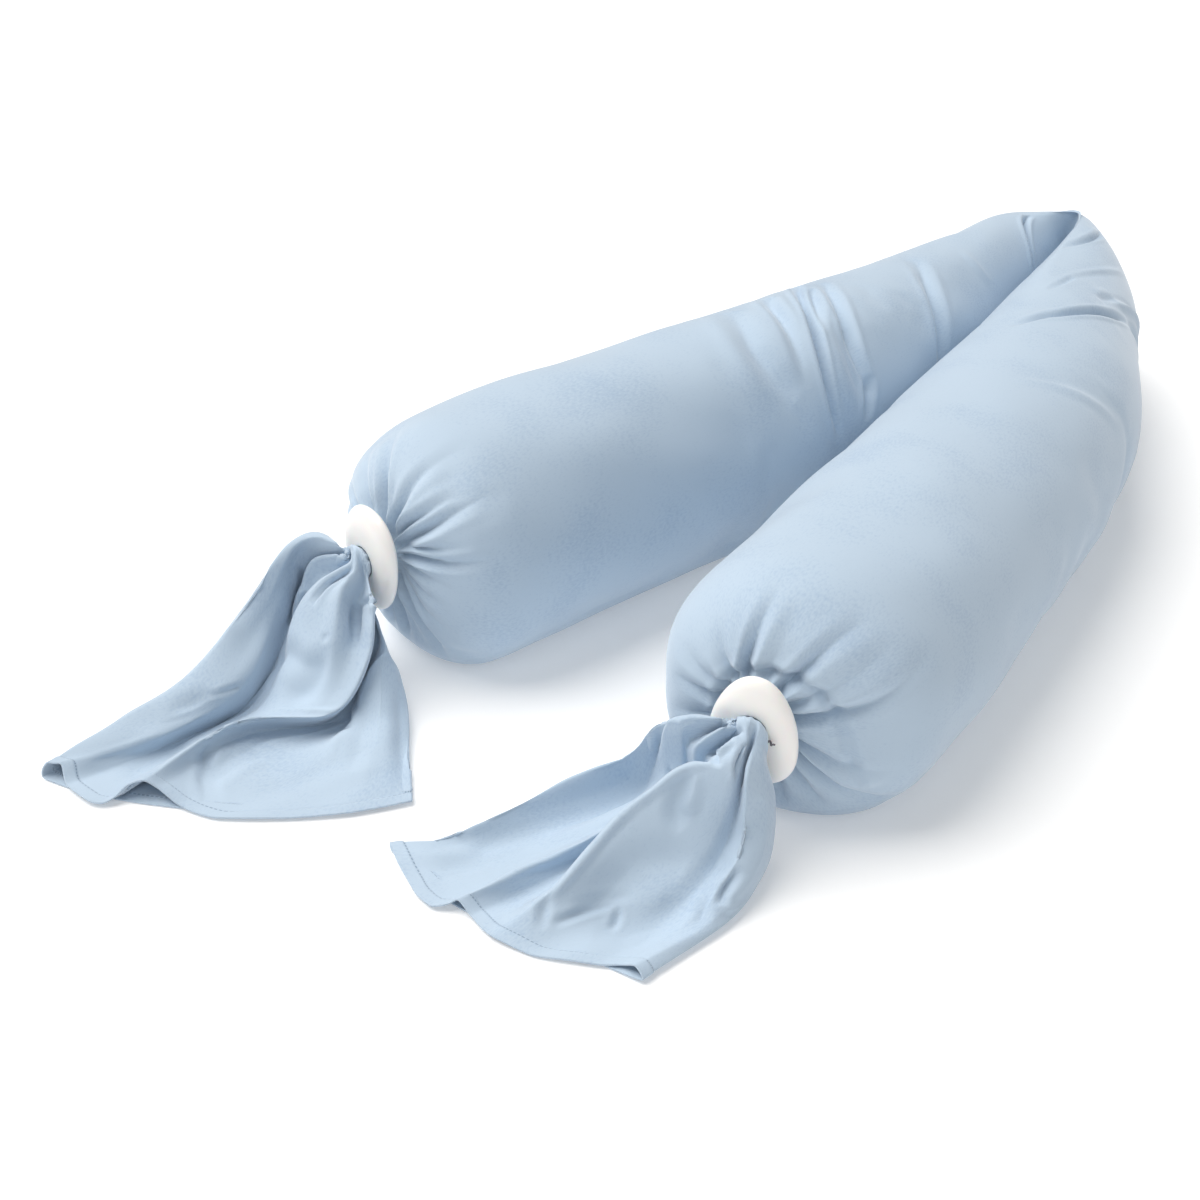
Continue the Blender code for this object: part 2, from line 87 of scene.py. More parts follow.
# Folds in the cover: a path through three points, each a distance along the crest from the left neck
# (or, where negative, from the right neck) and an angle in degrees, 0 the outer side and 90 the crest;
# half width and depth of the valley (a negative depth is a ridge); sharpness, 0 rounded to 1 knife;
# lap, how far one side stands over the other; and the share of the path where the fold is deepest.
PLEATS = [
    # place and angle at the neck, in the middle and at the end, half, deep, sharp, lap, peak
    (0.008, 44, 0.040, 32, 0.074, 24, 0.0026, 0.011, 0.6, 0.000, 0.10),          # left end, near side
    (0.006, 90, 0.056, 78, 0.110, 61, 0.0026, 0.018, 0.8, -0.001, 0.10),
    (0.010, 104, 0.060, 100, 0.122, 104, 0.0028, 0.009, 0.4, 0.000, 0.10),
    (0.008, 113, 0.056, 120, 0.106, 124, 0.0026, 0.010, 0.6, 0.000, 0.10),
    (0.006, 130, 0.060, 130, 0.112, 129, 0.0026, 0.017, 0.8, 0.000, 0.10),
    (0.006, 137, 0.046, 146, 0.080, 151, 0.0024, 0.008, 0.6, 0.000, 0.10),
    (0.006, 153, 0.050, 158, 0.100, 160, 0.0022, 0.014, 0.9, 0.001, 0.10),
    (0.005, 172, 0.030, 174, 0.062, 177, 0.0028, 0.008, 0.4, 0.000, 0.10),
    (0.004, 186, 0.022, 190, 0.052, 189, 0.0026, 0.009, 0.5, 0.000, 0.10),
    (0.003, 204, 0.026, 208, 0.062, 208, 0.0026, 0.008, 0.4, 0.000, 0.10),
    (0.003, 222, 0.034, 230, 0.088, 247, 0.0024, 0.015, 0.8, 0.000, 0.10),
    (0.003, 244, 0.040, 262, 0.076, 272, 0.0028, 0.010, 0.4, 0.000, 0.10),
    (0.003, 268, 0.040, 276, 0.066, 282, 0.0028, 0.010, 0.4, 0.000, 0.10),
    (0.003, 304, 0.046, 308, 0.092, 305, 0.0028, 0.012, 0.6, 0.000, 0.10),       # left end, far side
    (0.003, 330, 0.040, 328, 0.078, 330, 0.0028, 0.007, 0.4, 0.000, 0.10),
    (0.003, 350, 0.050, 346, 0.110, 352, 0.0028, 0.014, 0.7, 0.000, 0.10),
    (0.003, 16, 0.052, 12, 0.116, 10, 0.0028, 0.012, 0.6, 0.000, 0.10),
    (0.004, 66, 0.046, 56, 0.092, 46, 0.0028, 0.011, 0.5, 0.000, 0.10),
    (-0.008, 168, -0.036, 166, -0.066, 172, 0.0024, 0.010, 0.8, 0.000, 0.10),    # right end, top
    (-0.008, 143, -0.036, 148, -0.068, 148, 0.0026, 0.007, 0.5, 0.000, 0.10),
    (-0.008, 130, -0.040, 124, -0.076, 122, 0.0026, 0.010, 0.7, 0.000, 0.10),
    (-0.006, 118, -0.046, 101, -0.102, 96, 0.0024, 0.016, 0.8, 0.001, 0.10),
    (-0.008, 90, -0.044, 86, -0.084, 86, 0.0032, 0.006, 0.3, 0.000, 0.10),
    (-0.006, 70, -0.046, 66, -0.104, 61, 0.0028, 0.014, 0.7, 0.000, 0.10),
    (-0.006, 40, -0.040, 40, -0.106, 47, 0.0028, 0.008, 0.5, 0.000, 0.10),
    (-0.006, 13, -0.042, 19, -0.130, 34, 0.0026, 0.017, 0.8, 0.001, 0.10),       # right end, outer side
    (-0.008, 356, -0.042, 8, -0.092, 14, 0.0028, 0.010, 0.6, 0.000, 0.10),
    (-0.008, 336, -0.040, 339, -0.082, 346, 0.0026, 0.010, 0.7, 0.000, 0.10),
    (-0.008, 318, -0.042, 318, -0.092, 320, 0.0026, 0.015, 0.8, 0.000, 0.10),
    (-0.008, 302, -0.044, 298, -0.084, 300, 0.0026, 0.013, 0.8, 0.000, 0.10),
    (-0.006, 284, -0.040, 280, -0.072, 280, 0.0028, 0.010, 0.5, 0.000, 0.10),
    (-0.003, 262, -0.040, 262, -0.076, 262, 0.0028, 0.010, 0.5, 0.000, 0.10),    # right end, under
    (-0.003, 236, -0.036, 238, -0.080, 240, 0.0028, 0.012, 0.6, 0.000, 0.10),
    (-0.003, 208, -0.036, 205, -0.078, 206, 0.0028, 0.010, 0.5, 0.000, 0.10),
    (-0.003, 188, -0.032, 188, -0.064, 190, 0.0026, 0.007, 0.5, 0.000, 0.10),
]
CREASES = [
    # place and angle at the start, in the middle and at the end, half, deep, sharp, lap, peak
    (0.432, 76, 0.407, 114, 0.421, 145, 0.0110, 0.008, 0.2, 0.000, 0.40),        # middle of the left arm
    (0.478, 72, 0.457, 95, 0.433, 142, 0.0055, 0.008, 0.5, 0.000, 0.40),
    (0.530, 60, 0.466, 122, 0.462, 173, 0.0036, 0.017, 0.9, -0.003, 0.42),
    (0.522, 80, 0.501, 94, 0.480, 114, 0.0042, 0.008, 0.6, 0.000, 0.45),
    (0.545, 76, 0.509, 121, 0.508, 160, 0.0050, 0.010, 0.7, 0.000, 0.45),
    (0.509, 114, 0.493, 137, 0.499, 160, 0.0080, 0.006, 0.3, 0.000, 0.50),
    (0.512, 148, 0.503, 159, 0.495, 170, 0.0040, 0.006, 0.6, 0.000, 0.50),
    (0.666, 87, 0.633, 131, 0.615, 170, 0.0065, 0.009, 0.6, 0.000, 0.50),
    (0.728, 101, 0.729, 120, 0.736, 138, 0.0045, -0.002, 0.4, 0.000, 0.50),      # left arm near the fold
    (0.868, 96, 0.836, 135, 0.825, 175, 0.0030, 0.014, 0.9, -0.005, 0.45),       # knife crease of the fold
    (1.035, 92, 0.985, 76, 0.950, 66, 0.0035, 0.006, 0.9, 0.002, 0.50),          # right arm near the fold
    (1.160, 92, 1.132, 86, 1.105, 80, 0.0028, 0.003, 0.5, 0.000, 0.50),
    (1.123, 64, 1.104, 58, 1.086, 51, 0.0055, 0.003, 0.3, 0.000, 0.50),
    (1.118, 60, 1.055, 33, 1.020, 10, 0.0042, -0.004, 0.5, 0.000, 0.50),
    (1.260, 106, 1.196, 80, 1.092, 38, 0.0040, 0.011, 0.9, -0.002, 0.60),
    (1.130, 90, 1.071, 72, 0.990, 44, 0.0036, -0.002, 0.4, 0.000, 0.50),
    (1.095, 38, 1.065, 18, 1.050, 0, 0.0080, 0.005, 0.3, 0.000, 0.50),
    (-0.470, 86, -0.505, 58, -0.540, 28, 0.0048, -0.002, 0.4, 0.000, 0.50),      # right arm
]


def curve(knots, values, at):
    """Smooth curve through table rows: cubic pieces whose slope at a row is taken from its neighbours."""
    k = np.asarray(knots, float)
    v = np.asarray(values, float).reshape(len(k), -1)
    h = np.diff(k)
    d = np.diff(v, axis=0) / h[:, None]
    m = np.vstack([d[:1], (d[:-1] * h[1:, None] + d[1:] * h[:-1, None]) / (h[1:] + h[:-1])[:, None], d[-1:]])
    i = np.clip(np.searchsorted(k, at, side="right") - 1, 0, len(k) - 2)
    u = (np.clip((np.asarray(at) - k[i]) / h[i], 0.0, 1.0))[:, None]
    w = h[i][:, None]
    return ((1 + 2 * u) * (1 - u) ** 2 * v[i] + u * (1 - u) ** 2 * w * m[i]
            + u * u * (3 - 2 * u) * v[i + 1] + u * u * (u - 1) * w * m[i + 1])


def press(d, soft=0.004):
    """Cloth pressed on a plane: the distance in front of it, eased to zero and never behind it."""
    return np.maximum(0.5 * (d + np.sqrt(d * d + soft * soft)) - 0.25 * soft, 0.0)


def travel_of_sections():
    """Distance along the body of every table row, measured two thirds of the way to the outer side, and
    the table."""
    s = np.array(SECTIONS)
    mid = s[:, 0:2] * 0.35 + s[:, 2:4] * 0.65
    return np.concatenate([[0.0], np.cumsum(np.linalg.norm(np.diff(mid, axis=0), axis=1))]), s


def body_places():
    """Row places: even steps of the rounding angle on both ends, then the steps of the table."""
    total = travel_of_sections()[0][-1]
    cap = CAP_LENGTH * (1 - np.cos(np.linspace(0, math.pi / 2, CAP_ROWS, endpoint=False)))
    run = [np.linspace(a, b, round((b - a) / step), endpoint=False) for a, b, step in BODY_ROWS]
    run = np.concatenate(run)
    run = run[run < total - CAP_LENGTH - 0.002]
    return np.concatenate([cap, run, [total - CAP_LENGTH], (total - cap)[::-1]])


def body_surface(at, columns):
    """Filled body: at each place a squared ellipse in an upright plane between the inner and the outer
    side, pressed flat where it lies, and at both ends drawn in to the neck as 1 - (1 - x)^a to the power
    1/b. Angle 0 is the outer side, a quarter turn is the crest, half a turn the inner side."""
    knots, s = travel_of_sections()
    a = curve(knots, s, at)
    inner, outer, top, crest, square = a[:, 0:2], a[:, 2:4], a[:, 4:5], a[:, 5:6], a[:, 6:7]
    width = np.linalg.norm(outer - inner, axis=1)[:, None]
    across = (outer - inner) / width
    angle = np.linspace(0, 2 * math.pi, columns, endpoint=False)[None, :]
    c, q = np.cos(angle), np.sin(angle)
    cc = np.sign(c) * np.abs(c) ** (2 / square)
    qq = np.sign(q) * np.abs(q) ** (2 / square)
    lateral = np.where(cc > 0, crest * width + (1 - crest) * width * cc, crest * width * (1 + cc))
    centre = (top - SINK) / 2
    height = centre + (top + SINK) / 2 * qq
    from_end = np.minimum(at, knots[-1] - at)[:, None]
    length = CAP_LENGTH - (CAP_LENGTH - CAP_LOW) * np.clip(-q, 0, 1)
    grow = (1 - (1 - np.clip(from_end / length, 0, 1)) ** CAP_CURVE[0]) ** (1 / CAP_CURVE[1])
    share = (NECK_RADIUS + (width / 2 - NECK_RADIUS) * grow) / (width / 2)
    lateral = width / 2 + (lateral - width / 2) * share
    height = NECK_HEIGHT + (centre - NECK_HEIGHT) * grow + (height - centre) * share
    p = np.empty(lateral.shape + (3,))
    p[..., 0] = inner[:, 0:1] + across[:, 0:1] * lateral
    p[..., 1] = inner[:, 1:2] + across[:, 1:2] * lateral
    p[..., 2] = press(height)
    return p


def normals(p):
    """Outward unit normals of a surface grid that closes round its columns."""
    along = np.gradient(p, axis=0)
    around = np.roll(p, -1, axis=1) - np.roll(p, 1, axis=1)
    n = np.cross(around, along)
    n *= np.sign(((p - p.mean(axis=1, keepdims=True)) * n).sum(axis=2).sum(axis=1))[:, None, None]
    return n / np.maximum(np.linalg.norm(n, axis=2, keepdims=True), 1e-12)


def on_grid(p, run, place, angle):
    """Points of a closed grid at distances along its rows and angles round its columns, in degrees."""
    row = np.interp(place, run, np.arange(len(run)))
    column = (np.asarray(angle, float) / 360 * p.shape[1]) % p.shape[1]
    r, c = np.clip(row.astype(int), 0, len(run) - 2), column.astype(int)
    fr, fc = (row - r)[:, None], (column - c)[:, None]
    after = (c + 1) % p.shape[1]
    c = c % p.shape[1]
    return ((1 - fr) * ((1 - fc) * p[r, c] + fc * p[r, after])
            + fr * ((1 - fc) * p[r + 1, c] + fc * p[r + 1, after]))


def fold_path(p, run, ends, steps=28):
    """Points on the grid along a parabola through three (place, angle) pairs."""
    (s0, a0), (s1, a1), (s2, a2) = ends
    u = np.linspace(0, 1, steps)
    first, middle, last = (1 - u) * (1 - 2 * u), 4 * u * (1 - u), u * (2 * u - 1)
    return on_grid(p, run, first * s0 + middle * s1 + last * s2, first * a0 + middle * a1 + last * a2)


def fold_relief(p, n, path, half, deep, sharp=0.3, lap=0.0, peak=0.5, widen=0.0):
    """How far one fold sinks the cloth at every grid point: a valley exp(-|u|^(2 - sharp)) across the
    path with a low swelling on either side, and one side lifted by lap; along the path it grows to its
    full depth at peak and dies away at both ends, more slowly where peak is nearer."""
    reach = half * (1 + widen) * (9 if lap else 4)
    sunk = np.zeros(p.shape[:2])
    near = np.all((p > path.min(axis=0) - reach) & (p < path.max(axis=0) + reach), axis=2)
    v = p[near]
    a, ab = path[:-1], np.diff(path, axis=0)
    t = np.clip(((v[:, None] - a) * ab).sum(axis=2) / (ab * ab).sum(axis=1), 0, 1)
    gap = v[:, None] - (a + ab * t[..., None])
    far = (gap ** 2).sum(axis=2)
    k = far.argmin(axis=1)
    i = np.arange(len(v))
    share = (k + t[i, k]) / len(a)
    side = np.sign((np.cross(ab[k], gap[i, k]) * n[near]).sum(axis=1))
    u = np.sqrt(far[i, k]) / (half * (1 + widen * share))
    cut = np.exp(-u ** (2 - sharp)) - 0.20 * np.exp(-((u - 2.0) / 0.8) ** 2)
    over = 0.5 * (1 + np.tanh(2.5 * u * side * np.sign(lap))) * np.exp(-u / 3)
    grow = np.sin(math.pi * share ** (math.log(0.5) / math.log(peak))) ** (1.2 - 0.8 * peak)
    sunk[near] = grow * (deep * cut - abs(lap) * over)
    return sunk


def uneven(at, columns, seed, count, low, high):
    """Slow swelling of the filling: a sum of waves whose lengths lie between low and high, in metres."""
    rng = np.random.default_rng(seed)
    around = np.linspace(0, 2 * math.pi, columns, endpoint=False)[None, :]
    total = np.zeros((len(at), columns))
    for _ in range(count):
        turns = rng.integers(1, max(2, round(GIRTH / low)))
        wave = 2 * math.pi / rng.uniform(low, high)
        total += np.cos(wave * at[:, None] + rng.uniform(0, 7)) * np.cos(turns * around + rng.uniform(0, 7))
    return total / math.sqrt(count)


def hex_colour(code):
    """sRGB hex code as linear red, green, blue and alpha."""
    c = np.array([int(code[i:i + 2], 16) for i in (1, 3, 5)]) / 255
    return (*np.where(c <= 0.04045, c / 12.92, ((c + 0.055) / 1.055) ** 2.4).tolist(), 1.0)


def add_node(tree, kind, links=(), **settings):
    """Adds a node. Settings name its properties or, with _ for spaces, its input sockets; links are
    (input socket, node, its output)."""
    made = tree.nodes.new(kind)
    for name, value in settings.items():
        if hasattr(made, name):
            setattr(made, name, value)
        else:
            made.inputs[name.replace("_", " ")].default_value = value
    for socket, source, output in links:
        tree.links.new(source.outputs[output], made.inputs[socket])
    return made


def new_material(name, **sockets):
    """Material whose Principled shader has the given constant sockets."""
    made = bpy.data.materials.new(name)
    made.use_nodes = True
    shader = made.node_tree.nodes["Principled BSDF"]
    for socket, value in sockets.items():
        shader.inputs[socket.replace("_", " ")].default_value = value
    return made, made.node_tree, shader


def grid_mesh(name, points, cloth, closed_ends=False, looped=False):
    """Object of a surface grid whose columns close round, and its rows too if it is looped. cloth holds
    the distance around and along the flat cut for every grid point plus one extra column, and becomes
    the UV map in metres."""
    rows, columns = points.shape[:2]
    r, c = [g.ravel() for g in np.meshgrid(np.arange(rows - 1 + looped), np.arange(columns), indexing="ij")]
    after, below = (c + 1) % columns, (r + 1) % rows
    quads = np.stack([r * columns + c, r * columns + after, below * columns + after, below * columns + c], 1)
    faces = quads.tolist()
    uv = np.stack([cloth[r, c], cloth[r, c + 1], cloth[r + 1, c + 1], cloth[r + 1, c]], 1).reshape(-1, 2)
    if closed_ends:
        faces += [list(range(columns - 1, -1, -1)), list(range((rows - 1) * columns, rows * columns))]
        uv = np.concatenate([uv, np.zeros((2 * columns, 2))])
    mesh = bpy.data.meshes.new(name)
    mesh.from_pydata(points.reshape(-1, 3).tolist(), [], faces)
    layer = mesh.uv_layers.new(name="cloth")
    layer.data.foreach_set("uv", uv.astype(np.float32).ravel())
    mesh.shade_smooth()
    made = bpy.data.objects.new(name, mesh)
    bpy.context.scene.collection.objects.link(made)
    return made


STITCH_PITCH, STITCH_GAP, STITCH_WIDTH = 0.0032, 0.0012, 0.0012


def jersey(name, wale, hem=0.0):
    """Cotton jersey, piece-dyed powder blue: matt, a little lighter at grazing angles from its nap,
    with fine upright wales and a faint melange of lighter and darker yarn. With a hem, a row of darker
    raised stitches runs at that distance from the cloth's end."""
    made, tree, shader = new_material(
        name, Roughness=0.9, Sheen_Weight=0.6, Sheen_Roughness=0.45, Specular_IOR_Level=0.3)
    shader.inputs["Sheen Tint"].default_value = hex_colour("#eef2f6")
    cloth = add_node(tree, "ShaderNodeUVMap", uv_map="cloth")
    knit = add_node(tree, "ShaderNodeMapping", [("Vector", cloth, "UV")], Scale=(1 / wale, 0.45 / wale, 1))
    yarn = add_node(tree, "ShaderNodeTexNoise", [("Vector", knit, "Vector")], Scale=1.0, Detail=2.0)
    soft = add_node(tree, "ShaderNodeTexNoise", [("Vector", cloth, "UV")], Scale=14.0, Detail=3.0)
    tone = add_node(tree, "ShaderNodeMath", [(0, yarn, "Fac"), (1, soft, "Fac")], operation="ADD")
    ramp = add_node(tree, "ShaderNodeValToRGB", [("Fac", tone, "Value")])
    ramp.color_ramp.elements[0].position = 0.60
    ramp.color_ramp.elements[1].position = 1.40
    ramp.color_ramp.elements[0].color = hex_colour("#a5bad0")
    ramp.color_ramp.elements[1].color = hex_colour("#b6c8d9")
    tree.links.new(ramp.outputs["Color"], shader.inputs["Base Color"])
    bump = add_node(tree, "ShaderNodeBump", [("Height", yarn, "Fac")], Strength=0.35, Distance=0.0004)
    if hem:
        place = add_node(tree, "ShaderNodeSeparateXYZ", [("Vector", cloth, "UV")])
        off_seam = add_node(tree, "ShaderNodeMath", [(0, place, "Y")], operation="ADD")
        off_seam.inputs[1].default_value = hem
        on_seam = add_node(tree, "ShaderNodeMath", [(0, off_seam, "Value")], operation="COMPARE")
        on_seam.inputs[1].default_value, on_seam.inputs[2].default_value = 0.0, STITCH_WIDTH / 2
        step = add_node(tree, "ShaderNodeMath", [(0, place, "X")], operation="PINGPONG")
        step.inputs[1].default_value = STITCH_PITCH / 2
        thread = add_node(tree, "ShaderNodeMath", [(0, step, "Value")], operation="GREATER_THAN")
        thread.inputs[1].default_value = STITCH_GAP / 2
        stitch = add_node(tree, "ShaderNodeMath", [(0, on_seam, "Value"), (1, thread, "Value")],
                          operation="MULTIPLY")
        bump = add_node(tree, "ShaderNodeBump", [("Height", stitch, "Value"), ("Normal", bump, "Normal")],
                        Strength=1.0, Distance=0.0006)
        mixed = add_node(tree, "ShaderNodeMix", [(0, stitch, "Value"), (6, ramp, "Color")],
                         data_type="RGBA")
        mixed.inputs[7].default_value = hex_colour("#8ea3b8")
        tree.links.new(mixed.outputs[2], shader.inputs["Base Color"])
    tree.links.new(bump.outputs["Normal"], shader.inputs["Normal"])
    return made


NECKS = {
    # plan of the neck's middle and heading of the cloth there in degrees; then of the clip its lean in
    # degrees, how much wider it is at the top than in the middle, as a share, and how far it hangs down
    "left": {"at": (-0.0780, -0.1780), "heading": 256.6, "lean": 0.0, "egg": 0.10, "drop": 0.0},
    "right": {"at": (0.2840, -0.1785), "heading": 284.5, "lean": 3.0, "egg": -0.22, "drop": 0.0045},
}


def neck_frame(side):
    """Neck centre and the three directions there: out of the arm, to the right as seen from outside, up."""
    n = NECKS[side]
    turn = math.radians(n["heading"])
    out = np.array([math.cos(turn), math.sin(turn), 0.0])
    right = np.array([-out[1], out[0], 0.0])
    return np.array([*n["at"], NECK_HEIGHT]), out, right, np.array([0.0, 0.0, 1.0])


def filled(p, pressure, extra):
    """The cover blown up a little by its filling: a cloth simulation of every second row and column,
    held at both necks and where it lies. extra is how much larger the cloth is than p, as a share. The
    moves are capped, fade out towards the surface, are smoothed twice and are spread to all points."""
    rows = np.unique(np.append(np.arange(0, len(p), 2), len(p) - 1))
    start = p[rows][:, ::2]
    columns = start.shape[1]
    temporary = grid_mesh("air", start, np.zeros((len(rows), columns + 1, 2)), closed_ends=True)
    held = temporary.vertex_groups.new(name="held")
    fixed = (start[..., 2] < LIES_BELOW).ravel()
    fixed[:3 * columns] = fixed[-3 * columns:] = True
    held.add(np.flatnonzero(fixed).tolist(), 1.0, "REPLACE")
    cloth = temporary.modifiers.new("air", "CLOTH")
    cloth.settings.quality = 5
    cloth.settings.mass = 0.2
    cloth.settings.tension_stiffness = cloth.settings.compression_stiffness = 12.0
    cloth.settings.shear_stiffness = 6.0
    cloth.settings.bending_stiffness = 0.05
    cloth.settings.use_pressure = True
    cloth.settings.uniform_pressure_force = pressure
    cloth.settings.shrink_min = -extra
    cloth.settings.vertex_group_mass = "held"
    cloth.settings.effector_weights.gravity = 0.0
    cloth.collision_settings.use_collision = False
    for frame_number in range(1, 17):
        bpy.context.scene.frame_set(frame_number)
    blown = temporary.evaluated_get(bpy.context.evaluated_depsgraph_get()).to_mesh()
    moved = np.empty(start.size)
    blown.vertices.foreach_get("co", moved)
    moved = moved.reshape(start.shape) - start
    bpy.context.scene.frame_set(1)
    bpy.data.objects.remove(temporary, do_unlink=True)
    moved *= np.minimum(1, AIR_CAP / np.maximum(np.linalg.norm(moved, axis=2, keepdims=True), 1e-9))
    moved *= np.clip(start[..., 2:] / AIR_FADE[1], 0, 1)
    for _ in range(2):
        moved = (2 * moved + np.roll(moved, 1, axis=1) + np.roll(moved, -1, axis=1)) / 4
        moved[1:-1] = (2 * moved[1:-1] + moved[:-2] + moved[2:]) / 4
    moved = np.concatenate([moved, moved[:, :1]], axis=1)
    wide = np.empty((len(rows), p.shape[1], 3))
    wide[:, ::2], wide[:, 1::2] = moved[:, :-1], (moved[:, :-1] + moved[:, 1:]) / 2
    row = np.interp(np.arange(len(p)), rows, np.arange(len(rows)))
    r = np.minimum(row.astype(int), len(rows) - 2)
    share = (row - r)[:, None, None]
    return p + wide[r] * (1 - share) + wide[r + 1] * share


at = body_places()
smooth_body = body_surface(at, BODY_COLUMNS)
crest_run = np.concatenate([[0.0], np.cumsum(np.linalg.norm(
    np.diff(smooth_body[:, BODY_COLUMNS // 4], axis=0), axis=1))])
out_of_body = normals(smooth_body)
sunk = -SWELL * uneven(at, BODY_COLUMNS, 4, 14, 0.09, 0.30)
for table, widen in [(PLEATS, PLEATS_WIDEN), (CREASES, 0.0)]:
    for s0, a0, s1, a1, s2, a2, half, deep, sharp, lap, peak in table:
        ends = [(s if s >= 0 else crest_run[-1] + s, a) for s, a in [(s0, a0), (s1, a1), (s2, a2)]]
        sunk += fold_relief(smooth_body, out_of_body, fold_path(smooth_body, crest_run, ends),
                            half, deep, sharp, lap, peak, widen)
room = DEEPEST * np.linalg.norm(smooth_body - smooth_body.mean(axis=1, keepdims=True), axis=2)
sunk = np.where(sunk > 0, room * np.tanh(sunk / room), sunk)
away_from_necks = np.clip(np.minimum(crest_run, crest_run[-1] - crest_run) / AIR_FADE[0], 0, 1)
sunk += AIR_ROOM * away_from_necks[:, None] * np.clip(smooth_body[..., 2] / AIR_FADE[1], 0, 1)
clear = np.clip(smooth_body[..., 2] / RELIEF_FADE, 0, 1) ** 2
cover = smooth_body - out_of_body * (sunk * clear)[..., None]
cover[..., 2] = np.maximum(cover[..., 2], 0.0)
cover = filled(cover, pressure=4.0, extra=0.02)
cover[..., 2] = np.maximum(cover[..., 2], 0.0)

into_clip = {side: NECK_LENGTH * neck_frame(side)[1] for side in NECKS}
cover = np.concatenate([cover[:1] + into_clip["left"], cover, cover[-1:] + into_clip["right"]]) + SHIFT
lies_along = np.concatenate([[-NECK_LENGTH], crest_run, [crest_run[-1] + NECK_LENGTH]])
lies_around = np.linspace(0, GIRTH, BODY_COLUMNS + 1)
cloth_map = np.stack(np.meshgrid(lies_around, lies_along), -1)
bolster = grid_mesh("bolster_cover", cover, cloth_map, closed_ends=True)
bolster.data.materials.append(jersey("cotton_jersey_body", 0.0016))
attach(bolster, "root")
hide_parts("bolster")

# ---------------------------------------------------------------------------------------------
# Loose cover ends. The same jersey tube runs on past each clip as an open sleeve, fanned out over
# the surface; its end is turned up 10 mm and stitched.
CLOTH = 0.0012
TAIL_RING, TAIL_BULGE = 0.0104, 1.45      # gathered sleeve in the hole, and its swelling in front
TAIL_START, TAIL_MOUTH, TAIL_LOOSE = 0.0085, 0.0170, 0.0225    # from the neck: start, hole's edge, swollen
TAIL_EASE = 0.010             # from there the sleeve eases from a true ring to its folds
TAIL_COLUMNS, TAIL_ROWS = 324, 152
TAIL_CRISP = 0.35             # 0 lets the cloth swing smoothly from fold to fold, 1 creases it at each
TAIL_SWELL, TAIL_LENGTH = 0.0006, 0.33    # slow unevenness of the cloth, and about how long a sleeve is
HEM, HEM_ROWS = 0.0105, 18    # turned up hem, and the rows of the mesh in it
HEM_MORE = 0.004              # and a little before it
HEM_RISE, HEM_GROOVE = 0.0009, 0.0005     # the turned up cloth stands proud, its seam is pulled in
LOWEST, LOWEST_TOP = 0.0004, 0.0022       # least height of the sleeve's lower and upper layer
TAILS = {}
TAILS["tail_left"] = [
    # angle at the neck, then x, y, z in mm at six stations from the neck to the hem
    (200, -118, -192, 88, -158, -205, 56, -178, -236, 16, -170, -311, 3, -170, -385, 2, -171, -459, 2),
    (180, -116, -199, 112, -142, -216, 106, -144, -266, 72, -140, -332, 42, -156, -392, 25, -170, -454, 13),
    (168, -107, -203, 114, -136, -217, 103, -136, -258, 63, -117, -329, 34, -139, -390, 20, -164, -451, 13),
    (155, -100, -204, 111, -140, -210, 94, -134, -243, 60, -111, -304, 31, -123, -375, 16, -160, -449, 12),
    (148, -97, -201, 102, -134, -206, 74, -131, -237, 33, -114, -297, 7, -124, -368, 4, -147, -456, 3),
    (138, -91, -206, 109, -125, -212, 91, -128, -235, 44, -110, -291, 12, -116, -367, 6, -134, -458, 3),
    (122, -88, -203, 98, -116, -212, 78, -124, -235, 47, -104, -289, 14, -108, -365, 8, -119, -459, 3),
    (112, -83, -209, 107, -102, -228, 90, -116, -242, 62, -99, -288, 18, -102, -363, 11, -111, -456, 3),
    (98, -78, -212, 106, -83, -234, 88, -82, -257, 56, -80, -287, 20, -96, -355, 15, -105, -448, 6),
    (86, -74, -211, 103, -70, -232, 92, -59, -256, 62, -58, -285, 23, -91, -347, 19, -101, -436, 13),
    (74, -72, -206, 92, -68, -222, 72, -51, -246, 54, -47, -284, 23, -90, -341, 20, -96, -432, 16),
    (60, -68, -207, 98, -46, -226, 86, -34, -242, 60, -34, -282, 25, -86, -335, 22, -92, -428, 17),
    (48, -69, -205, 86, -56, -214, 62, -50, -234, 34, -50, -272, 5, -88, -327, 4, -82, -423, 11),
    (36, -70, -205, 82, -56, -214, 50, -50, -238, 22, -41, -269, 4, -64, -335, 3, -64, -421, 4),
    (24, -70, -205, 80, -50, -216, 48, -43, -245, 28, -32, -271, 9, -28, -330, 4, -33, -414, 2),
    (12, -70, -205, 80, -42, -222, 52, -37, -242, 40, -29, -264, 21, -8, -313, 8, 8, -383, 2),
    (0, -71, -204, 80, -37, -222, 54, -33, -229, 47, -11, -258, 29, 15, -296, 13, 42, -349, 3),
    (-22, -74, -203, 71, -44, -213, 40, -28, -218, 27, -7, -232, 13, 32, -273, 6, 68, -310, 3),
    (-60, -84, -202, 60, -62, -210, 14, -44, -229, 1.5, -5, -262, 1, 29, -298, 1, 47, -331, 1),
    (-100, -96, -202, 60, -94, -222, 12, -75, -261, 1.5, -45, -313, 1, -29, -363, 1, -29, -400, 1),
    (-140, -108, -197, 70, -134, -208, 24, -134, -256, 1.5, -117, -334, 1, -119, -397, 1, -123, -449, 1),
]
